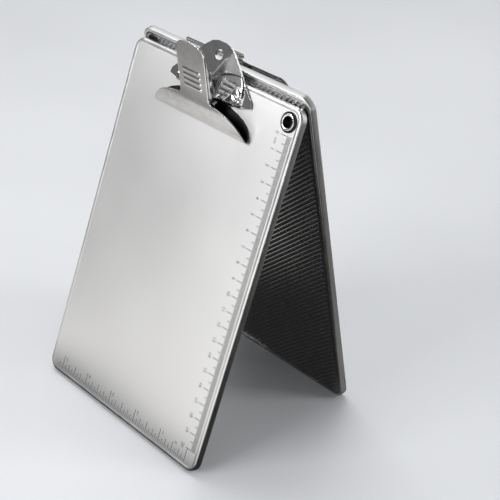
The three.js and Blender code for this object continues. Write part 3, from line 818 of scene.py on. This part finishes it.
def rulers(side):
    """Centimetres down the right edge and inches leftwards along the bottom edge."""
    cm, inch, numbers = [], [], []
    for i in range(201):
        y = CM_ZERO_Y - i
        end, half = tick(CM_TICKS, i)
        cm.append(ink_bar(end, CM_TICK_END, y - half, y + half))
        if i % 10 == 0:
            numbers.append(turned_text(str(i // 10), NUMBER_SIZE, (CM_TEXT_X, y), -90))
    numbers.append(turned_text("cm", UNIT_SIZE, (CM_TEXT_X, CM_ZERO_Y - 5.0), -90))
    step = 25.4 / 16
    for i in range(int((INCH_ZERO_X - 7.0) / step) + 1):
        x = INCH_ZERO_X - i * step
        end, half = tick(INCH_TICKS, i)
        inch.append(ink_bar(x - half, x + half, INCH_TICK_START, end))
        if i % 16 == 0 and i:
            numbers.append(turned_text(str(i // 16), NUMBER_SIZE, (x + 2.6, 11.2), 180))
    numbers.append(turned_text("in", UNIT_SIZE, (INCH_ZERO_X - 10.5, 10.8), 180))
    inch.append(ink_bar(138.7, INCH_ZERO_X, 12.64, 12.96))
    for name, shapes in (("cm", cm), ("inch", inch), ("numbers", numbers)):
        obj = make_object(f"{side}_ruler_{name}_print", joined(*shapes), side,
                          "ruler_print", 30)
        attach(obj, f"{side}_board")


def board(side):
    edge_frame(side)
    face_plate(side)
    back_sheet(side)
    eyelet(side)
    rulers(side)
    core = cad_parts[f"{side}_core_panel"]
    core.data.materials.clear()
    core.data.materials.append(MATERIALS["core"])


board("front")
board("rear")


# ------------------------------------------------------------------ parts both clips have
def rivets(side, seat, crown):
    """Two domed rivets through the board, their heads from z = seat up to z = crown."""
    profile = [(0, -4.95), (1.6, -4.93), (2.4, -4.85), (2.75, -4.7), (2.8, -4.5), (2.7, -4.4),
               (1.5, -4.38), (1.5, seat), (2.75, seat), (2.95, seat + 0.08), (3.0, seat + 0.2)]
    for i in range(1, 10):
        t = math.radians(90 * i / 10)
        profile.append((3.0 * math.cos(t) ** 0.9, seat + 0.2 + (crown - seat - 0.2) * math.sin(t)))
    profile.append((0.0, crown))
    for name, at in zip(("left", "right"), rivet_places(side)):
        part(side, f"clip_rivet_{name}_domed", f"clip_rivet_{name}",
             shift(lathe(profile, closed=False), (*at, 0)), "clip_chrome", 40)


def hinge_pin(side, node, centre, radius, half, head_radius, head):
    """Round pin along x with a domed head at each end."""
    dome = ((0, 1), (0.45, 0.97), (0.8, 0.75), (0.97, 0.4), (1, 0.1), (0.97, 0))
    profile = [(head_radius * r, -half - head * height) for r, height in dome]
    profile += [(radius, -half), (radius, -half + 0.5)]
    profile += [(r, -x) for r, x in reversed(profile)]
    part(side, f"{node}_domed", node, turn_to_x(lathe(profile, 36, closed=False), CX, *centre),
         "clip_chrome", 36)


SPRING_TURNS, SPRING_PITCH = 5, 1.5


def spring(side, centre, wire, coil_radius, legs, start, wrap):
    """Coil round the hinge with two straight legs; start and wrap are in degrees."""
    half = SPRING_TURNS * SPRING_PITCH / 2
    wind = wrap + 360 * (SPRING_TURNS - 1)
    first = math.radians(start)
    last = first - math.radians(wind)
    y, z = centre

    def point(x, angle, reach=0.0, heading=0.0):
        return (x, y + coil_radius * math.cos(angle) + reach * math.cos(heading),
                z + coil_radius * math.sin(angle) + reach * math.sin(heading))

    path = [point(CX - half, first, reach, first + math.pi / 2)
            for reach in np.linspace(legs[0], 0.35, 8)]
    count = int(wind / 9)
    for k in range(count + 1):
        share = k / count
        path.append(point(CX - half + 2 * half * share, first + share * (last - first)))
    path += [point(CX + half, last, reach, last - math.pi / 2)
             for reach in np.linspace(0.35, legs[1], 8)]
    obj = make_object(f"{side}_clip_spring_wound", tube(path, wire, 14), side,
                      "spring_steel", 50)
    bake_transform(obj)
    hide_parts(f"{side}_clip_spring")


def columns(rows):
    return np.array(rows, float).T


# ------------------------------------------------------------------ tall lever clip
# lever and jaw: (y, half width) of the jaw, then of the rounded lever top
JAW_OUTLINE = [(198.4, 41.0), (199.4, 40.95), (200.6, 40.5), (202.4, 39.2), (204.8, 36.8),
               (207.2, 33.2), (209.2, 28.6), (210.6, 23.0), (211.4, 17.9), (212.1, 14.6),
               (213.0, 13.35), (214.0, 13.0)]
LEVER_TOP = [(230.0, 13.0), (233.5, 12.95), (236.8, 12.7), (239.0, 12.3), (240.8, 11.5),
             (242.0, 10.1), (242.8, 8.0), (243.3, 5.4), (243.65, 2.6), (243.75, 1.2)]
# outer surface (y, z)
LEVER_PROFILE = [(198.4, 1.6), (198.8, 2.6), (199.6, 3.6), (201.2, 4.95), (203.4, 6.6),
                 (206.4, 8.7), (209.4, 10.5), (213.5, 12.15), (218.1, 14.35), (224.5, 17.75),
                 (231.0, 21.2), (237.7, 24.65), (244.6, 28.2)]
# lower edge of the side flanges (y, z), from the lever's top down to the pin
FLANGE_EDGE = [(235.9, 22.3), (233.6, 19.6), (229.0, 15.7), (224.0, 11.9), (219.6, 8.7),
               (217.4, 7.1)]


def lever_lift(x, y):
    """Four ridges across the lever and a shallow crown across the jaw."""
    out = np.zeros_like(x)
    for i in range(4):
        ridge_y = 218.4 + 3.05 * i
        out += 0.6 * np.exp(-((y - ridge_y) / 0.7) ** 4) * smoothstep((8.0 - np.abs(x)) / 0.6)
    return out + (0.2 * smoothstep((209.0 - y) / 8.0) * smoothstep((y - 199.2) / 4.0)
                  * (1 - (x / 41.0) ** 2))


def lever_jaw():
    outline = smooth_line(JAW_OUTLINE, 8)
    profile = smooth_line(LEVER_PROFILE, 12)
    top = smooth_line(LEVER_TOP, 8)
    ys = np.concatenate([
        profile[profile[:, 0] < 201.5][:, 0], np.linspace(201.6, 209, 18),
        np.linspace(209.2, 213.8, 30), np.linspace(214.1, 216.2, 6),
        np.linspace(216.5, 229.6, 60), np.linspace(230, 234, 8)[:-1],
        top[top[:, 0] > 233.6][:, 0]])
    ys = np.array(sorted(set(np.round(ys, 3))))
    widths = np.where(ys > 230, np.interp(ys, *top.T), np.interp(ys, *outline.T))
    line = np.stack([ys, np.interp(ys, *profile.T)], 1)
    rim = 0.3 + (0.62 * smoothstep((ys - 211.5) / 3.0)
                 * (1 - 0.5 * smoothstep((ys - 236) / 6)))
    shell = pressed_sheet(line, widths, 1.0, across=76, top_radius=rim, under_radius=0.12,
                          lift=lever_lift)

    # side flanges: deep round the pin, running out near the lever's top
    coarse = smooth_line(profile[::6], 3)
    inner = coarse - left_of(unit(np.gradient(coarse, axis=0))) * 0.86
    upper = inner[(inner[:, 0] > 211.0) & (inner[:, 0] < 236.0)]
    pin_y, pin_z = PIN_AT
    arc = [(pin_y + 3.0 * math.cos(a), pin_z + 3.0 * math.sin(a))
           for a in np.linspace(-0.42, -math.pi, 26)]
    lower = smooth_line(FLANGE_EDGE + [arc[0]], 4)[:-1]
    flange = np.vstack([upper, lower, arc, [(pin_y - 2.75, 9.0)]])[::-1]
    shape = add_cheeks(shell, flange, PIN_AT, bore=1.55, segments=32, inner_x=12.0, bevel=0.16)
    under = inner[inner[:, 0] > 196.0]

    def painted_shade(v):
        """Painted shade on the inside of the jaw, below the pin."""
        outer_z = np.interp(v[:, 1], *profile.T)
        inner_z = np.interp(v[:, 1], *under.T)
        depth = (outer_z - v[:, 2]) / np.maximum(outer_z - inner_z, 0.2)
        return np.where(v[:, 1] < pin_y, smoothstep(depth * 1.4 - 0.5), 0.0)

    part("front", "clip_lever_jaw_pressed", "clip_lever_jaw", shape, "clip_chrome", 36,
         body="clip_lever", painted_shade=painted_shade)


RIVET_LIFT = 1.6      # the front rivets sit on the raised body of the base
BASE_THICK = 1.3
# right half of the base's outline (distance from CX, y, corner radius)
BASE_OUTLINE = [
    (0, 198.8, 0), (39.6, 198.8, 0.6), (40.35, 200.4, 1.2), (40.0, 202.9, 3),
    (38.8, 205.3, 5), (36.6, 207.6, 6), (32.0, 210.4, 6), (26.4, 212.3, 10),
    (20.6, 213.6, 1.5), (18.6, 214.5, 0.35), (21.4, 215.25, 1.5), (27.2, 215.9, 12),
    (36.7, 217.8, 0.5), (35.9, 221.2, 1.6), (12.6, 243.2, 0.9), (8.5, 246.2, 0.9),
    (4.0, 247.5, 0.6), (0, 247.6, 0)]
# side ear (y from the pin, z, corner radius)
BASE_EAR = [(-1.9, 0.5, 0), (6.4, 0.5, 0), (5.6, 3.0, 1.5), (2.9, 7.2, 2.0), (1.8, 9.6, 1.6),
            (-1.8, 9.6, 1.6), (-2.7, 7.2, 2.0), (-2.7, 3.0, 1.2)]


def outline_from(pivot, rows):
    """Rounded (y, z) outline from rows that give y from the pivot."""
    return round_poly([(pivot[0] + y, z, radius) for y, z, radius in rows])


def base_stations():
    """Rows of (y, half width) up the base, at most 0.45 apart in y."""
    right = round_poly(BASE_OUTLINE, 6.0)
    right = right[right[:, 0] > 0.01]
    stations = [(right[0, 1], right[0, 0])]
    for p, q in zip(right[:-1], right[1:]):
        count = max(1, int(math.ceil(abs(q[1] - p[1]) / 0.45)))
        for i in range(1, count + 1):
            x, y = p + (q - p) * i / count
            if y > stations[-1][0] + 0.02:
                stations.append((y, x))
    return columns(stations)


def base_lift(x, y):
    offset = np.abs(x)
    border = 225.6 + 8.6 * (1 - np.exp(-offset / 9.0))    # upper border of the raised body
    side = 28.6 - 0.05 * np.maximum(y - 223.0, 0) ** 2
    # highest by the pin, running down to the border
    fall = 0.35 + np.clip(border - y, 0, 20) * 0.122
    body = (fall * smoothstep((border - y) / 0.9) * smoothstep((y - 213.4) / 3.4)
            * smoothstep((side - offset) / 1.0))
    body = body * (0.3 + 0.7 * smoothstep((offset - 4.5) / 3.5))    # valley under the spring
    rivet_x, rivet_y = RIVETS["front"]
    seat = 1 - smoothstep((np.hypot(offset - rivet_x, y - rivet_y) - 2.9) / 1.6)
    low = -0.5 * (1 - smoothstep((y - 212.4) / 2.6))      # the lower jaw lies flat on the face
    return body * (1 - seat) + RIVET_LIFT * seat + low


def base_jaw():
    ys, widths = base_stations()
    line = np.stack([ys, np.full(len(ys), BASE_THICK)], 1)
    v, faces = pressed_sheet(line, widths, BASE_THICK, across=96, top_radius=0.14,
                             under_radius=0.08, lift=base_lift, round_ends=False)
    # press the underside flat against the face
    v[:, 2] = np.where(v[:, 2] < 0.9, np.maximum(v[:, 2], -0.06), v[:, 2])
    shape = drill((v, faces), (CX, 239.8), 3.35, 48)      # round hole near the top
    for at in rivet_places("front"):
        shape = drill(shape, at, BORE, BORE_SEGMENTS)
    shape = add_cheeks(shape, outline_from(PIN_AT, BASE_EAR), PIN_AT, bore=1.55, segments=32,
                       inner_x=10.6, bevel=0.14)
    # painted shade along the lower jaw's front edge, under the lever's jaw
    part("front", "clip_base_jaw_pressed", "clip_base_jaw", shape, "clip_chrome", 34,
         painted_shade=lambda v: smoothstep((214.6 - v[:, 1]) / 1.2) * (v[:, 2] < 2.5))


lever_jaw()
base_jaw()
hinge_pin("front", "clip_hinge_pin", PIN_AT, radius=1.3, half=13.3, head_radius=2.1, head=0.9)
spring("front", PIN_AT, wire=0.5, coil_radius=2.15, legs=(9.0, 12.0),
       start=-100, wrap=142)
rivets("front", seat=1.26 + RIVET_LIFT, crown=BASE_THICK + RIVET_LIFT + 1.4)

# ------------------------------------------------------------------ low flat clip
# base ears and clamp lugs (y from the rod, z, corner radius)
LOW_EAR = [(-3.8, 0.6, 0), (3.8, 0.6, 0), (2.9, 3.6, 1.5), (1.6, 6.85, 1.5),
           (-1.6, 6.85, 1.5), (-2.9, 3.6, 1.5)]
CLAMP_LUG = [(-3.4, 7.35, 0), (-2.1, ROD_AT[1] - 0.6, 0.8), (-1.2, ROD_AT[1] - 2.1, 1.2),
             (1.2, ROD_AT[1] - 2.1, 1.2), (2.1, ROD_AT[1] - 0.6, 0.8), (3.4, 7.3, 0)]
ROD_BORE = dict(bore=1.35, segments=28)
# clamp plate: (y, half width), then outer surface (y, z)
CLAMP_OUTLINE = [(196.0, 42.6), (197.5, 44.5), (200.0, 45.7), (203.0, 46.0), (210.0, 46.0),
                 (218.0, 46.0), (223.0, 45.9), (226.0, 45.2), (227.8, 43.4), (228.7, 40.6)]
CLAMP_PROFILE = [(195.6, 1.4), (196.1, 3.4), (197.8, 5.4), (201.0, 6.85), (206.0, 7.7),
                 (212.0, 8.1), (217.0, 7.8), (222.0, 6.9), (226.0, 5.7), (228.4, 4.85),
                 (229.8, 4.65), (231.1, 5.25), (232.2, 6.2)]
# tab at the clamp's upper edge (y, half width)
TAB_OUTLINE = [(226.8, 9.9), (228.6, 9.5), (229.2, 9.0), (229.8, 8.9), (230.6, 9.5),
               (231.3, 10.3), (231.9, 9.8), (232.2, 8.6)]


def low_base():
    outer = rectangle(CX - 37, CX + 37, 204, 226.5, radius=2.4, step=6)
    shape = plate([outer] + rivet_holes("rear", BORE, BORE_SEGMENTS), -0.07, 1.2,
                  bevel=0.25, steps=3)
    shape = add_cheeks(shape, outline_from(ROD_AT, LOW_EAR), ROD_AT, inner_x=35.6, bevel=0.14,
                       **ROD_BORE)
    # raised bead along the plate
    y = 207.6
    bead = rectangle(CX - 30, CX + 30, y - 1.2, y + 1.2, radius=1.19, step=10)
    shape = boolean(shape, plate([bead], 0.8, 1.75, bevel=0.5, steps=4), "UNION")
    part("rear", "clip_base_plate_pressed", "clip_base_plate", shape, "clip_chrome", 36)


def clamp_lift(x, y):
    """Low bead across the plate near its lower edge."""
    return (0.45 * np.exp(-(x / 400.0) ** 2) * np.exp(-((y - 203.8) / 1.1) ** 4)
            * smoothstep((38 - np.abs(x)) / 3))


def low_clamp():
    profile = smooth_line(CLAMP_PROFILE, 10)
    sheet = dict(thick=0.8, top_radius=0.28, under_radius=0.12)
    main = profile[profile[:, 0] <= 228.75]
    widths = np.interp(main[:, 0], *smooth_line(CLAMP_OUTLINE, 8).T)
    shape = pressed_sheet(main, widths, across=90, lift=clamp_lift, **sheet)
    tab = profile[profile[:, 0] >= 226.8]
    tab_widths = np.interp(tab[:, 0], *columns(TAB_OUTLINE))
    shape = boolean(shape, pressed_sheet(tab, tab_widths, across=40, **sheet), "UNION")
    shape = add_cheeks(shape, outline_from(ROD_AT, CLAMP_LUG), ROD_AT, inner_x=37.2,
                       bevel=0.12, **ROD_BORE)
    part("rear", "clip_clamp_plate_pressed", "clip_clamp_plate", shape, "clip_chrome", 36,
         body="clip_clamp")


low_base()
low_clamp()
hinge_pin("rear", "clip_hinge_rod", ROD_AT, radius=1.1, half=38.5, head_radius=1.7, head=0.8)
spring("rear", ROD_AT, wire=0.3, coil_radius=1.75, legs=(6.5, 8.5),
       start=-97, wrap=183)
rivets("rear", seat=1.18, crown=2.5)


# ------------------------------------------------------------------ floor, light and camera
def mirrored_floor(m, x, y):
    """Painted light and shade on the floor as metal mirrors it: glow strength, bright on the left,
    dim on the right.
    """
    def pool(cx, cy, inner, outer, power=1.0):
        """Round pool of painted light that fades between two radii (mm)."""
        distance = m.length(m.math("SUBTRACT", x, cx), m.math("SUBTRACT", y, cy))
        return m.math("POWER", m.span(distance, (inner, outer), to=(1.0, 0.0)), power)

    left = m.times(pool(-175.0, -70.0, inner=40.0, outer=480.0, power=1.5),
                   m.span(x, (-160.0, -105.0), to=(1.0, 0.0)), 0.72)
    left = m.plus(left, m.times(pool(-385.0, -115.0, inner=20.0, outer=110.0), 0.55))
    front = m.times(pool(20.0, -240.0, inner=80.0, outer=300.0),
                    m.span(y, (-150.0, -85.0), to=(1.0, 0.0)), 1.0)
    # right of the boards, behind a slanting line
    slant = m.math("SUBTRACT", y, m.times(x, 1.08))
    right = m.times(m.span(slant, (-100.0, -82.0), to=(0.0, 0.17)), m.span(x, (62.0, 85.0)))
    far_front = m.times(m.span(y, (-700.0, -235.0), to=(1.0, 0.0)),
                        m.span(x, (-1080.0, -300.0), to=(0.0, 0.92)))
    # far front again, right of a ray that runs forward and left from the centre
    ahead = m.math("MAXIMUM", m.times(y, -1.0), 1.0)
    bearing = m.plus(m.math("DIVIDE", x, ahead), 0.93)
    fan = m.times(m.span(bearing, (-0.15, 0.12)),
                  m.span(y, (-700.0, -400.0), to=(1.0, 0.0)), 0.85)
    behind = m.span(y, (380.0, 750.0), to=(0.0, 0.55))
    everywhere = 0.03
    return m.plus(left, front, everywhere, right, far_front, fan, behind)


def floor_material():
    m = Nodes("floor_pale")
    cloud = m.noise((0.004, 0.004, 0.004), detail=3, in_object=True)
    grain = m.noise((0.6, 0.6, 0.6), detail=3, rough=0.6, in_object=True)
    color = m.mix(m.span(cloud), (0.60, 0.61, 0.63), (0.64, 0.65, 0.67))
    pale = m.surface(color, m.span(grain, to=(0.42, 0.5)), metallic=0.0)
    x, y, _ = m.split(m.coords((1, 1, 1), in_object=True))
    # painted light: glossy rays see the floor glow in the pools of mirrored_floor
    glow = m.add("ShaderNodeEmission", {"Color": (1.0, 0.985, 0.965),
                                        "Strength": mirrored_floor(m, x, y)})
    ray = m.add("ShaderNodeLightPath").outputs
    # the floor fades into the pale backdrop far away
    fade = m.span(m.length(x, y), (900.0, 4500.0), to=(0.0, 0.46))
    haze = m.add("ShaderNodeEmission", {"Color": (0.97, 0.985, 1.0),
                                        "Strength": m.times(fade, ray["Is Camera Ray"])})
    seen = m.add("ShaderNodeAddShader", {0: pale, 1: haze.outputs[0]})
    return m.finish(m.add("ShaderNodeMixShader", {
        0: ray["Is Glossy Ray"], 1: seen.outputs[0], 2: glow.outputs[0]}).outputs[0])


def floor():
    cells, size, z = 40, 40.0, -0.0002
    row = cells + 1
    verts = [(size * (i / cells - 0.5), size * (j / cells - 0.5), z)
             for j in range(row) for i in range(row)]
    faces = [(j * row + i, j * row + i + 1, (j + 1) * row + i + 1, (j + 1) * row + i)
             for j in range(cells) for i in range(cells)]
    me = bpy.data.meshes.new("floor")
    me.from_pydata(verts, [], faces)
    obj = bpy.data.objects.new("floor", me)
    bpy.context.scene.collection.objects.link(obj)
    me.materials.append(floor_material())


# bright patches of the studio: direction, inner and outer angle (degrees), strength
STUDIO_PATCHES = (
    ((0.02, -0.93, 0.40), 12, 40, 0.42),
    ((-0.05, -0.98, 0.10), 5, 26, 1.4),
    ((1.0, -0.05, 0.08), 6, 26, 0.25),
    ((-0.72, 0.09, 0.68), 9, 25, 2.3),
    ((0.0, 0.97, 0.22), 18, 62, 1.35),
    ((-0.42, -0.90, 0.12), 6, 30, 0.08),
    ((0.9, 0.2, 0.65), 6, 24, 0.06),
)


def studio():
    """Soft studio: pale to the eye, with darker and lighter zones for metal to reflect."""
    m = Nodes("studio", "World")
    x, y, z = m.split(m.add("ShaderNodeTexCoord").outputs["Generated"])
    strength = m.span(z, (0.06, 0.42), to=(0.15, 0.03))
    for direction, inner, outer, power in STUDIO_PATCHES:
        d = Vector(direction).normalized()
        facing = m.plus(m.times(x, d.x), m.times(y, d.y), m.times(z, d.z))
        cosines = math.cos(math.radians(outer)), math.cos(math.radians(inner))
        strength = m.plus(strength, m.times(m.span(facing, cosines), power))
    ray = m.add("ShaderNodeLightPath").outputs
    # even fill for the floor and the dark pieces
    diffuse = ray["Is Diffuse Ray"]
    fill = m.times(diffuse, 0.42)
    strength = m.plus(m.times(strength, m.math("SUBTRACT", 1.0, diffuse)), fill)
    lit = m.add("ShaderNodeBackground", {0: (0.97, 0.985, 1.0), 1: strength})
    seen = m.add("ShaderNodeBackground", {0: (0.72, 0.735, 0.76), 1: 1.0})
    bpy.context.scene.world = m.finish(m.add("ShaderNodeMixShader", {
        0: ray["Is Camera Ray"], 1: lit.outputs[0], 2: seen.outputs[0]}).outputs[0])


def area(name, location, target, size, power, hide_from):
    """Rectangular lamp, hidden from the camera and from one more kind of ray."""
    light = bpy.data.lights.new(name, "AREA")
    light.shape, light.size, light.size_y = "RECTANGLE", size[0], size[1]
    light.energy = power
    obj = bpy.data.objects.new(name, light)
    bpy.context.scene.collection.objects.link(obj)
    obj.location = location
    aim = Vector(target) - Vector(location)
    obj.rotation_euler = aim.to_track_quat("-Z", "Y").to_euler()
    obj.visible_camera = False
    setattr(obj, f"visible_{hide_from}", False)


def camera():
    data = bpy.data.cameras.new("camera")
    data.lens, data.sensor_width = 94.9, 36.0
    data.clip_start, data.clip_end = 0.01, 30
    obj = bpy.data.objects.new("camera", data)
    bpy.context.scene.collection.objects.link(obj)
    right, up, back = (0.6666, 0.7442, 0.0427), (-0.3884, 0.2978, 0.8720), (0.6363, -0.5979, 0.4876)
    turn = Matrix((right, up, back)).transposed().to_quaternion().to_matrix().to_4x4()
    obj.matrix_world = Matrix.Translation((0.5491, -0.4737, 0.5067)) @ turn
    bpy.context.scene.camera = obj


floor()
studio()
area("key", (-0.28, -1.35, 0.75), target=(0, 0, 0.1), size=(0.9, 0.6), power=16,
     hide_from="glossy")
area("sheen", (-0.62, -1.12, 0.95), target=(0, 0, 0.12), size=(0.6, 0.6), power=16,
     hide_from="diffuse")
area("top", (-0.5, 0.3, 1.3), target=(0, 0, 0.1), size=(0.8, 0.8), power=9,
     hide_from="glossy")
area("rim", (1.1, 0.9, 0.9), target=(0, 0, 0.12), size=(0.5, 0.8), power=7,
     hide_from="glossy")
camera()
view = bpy.context.scene.view_settings
view.view_transform, view.look, view.exposure = "Standard", "None", 0.0
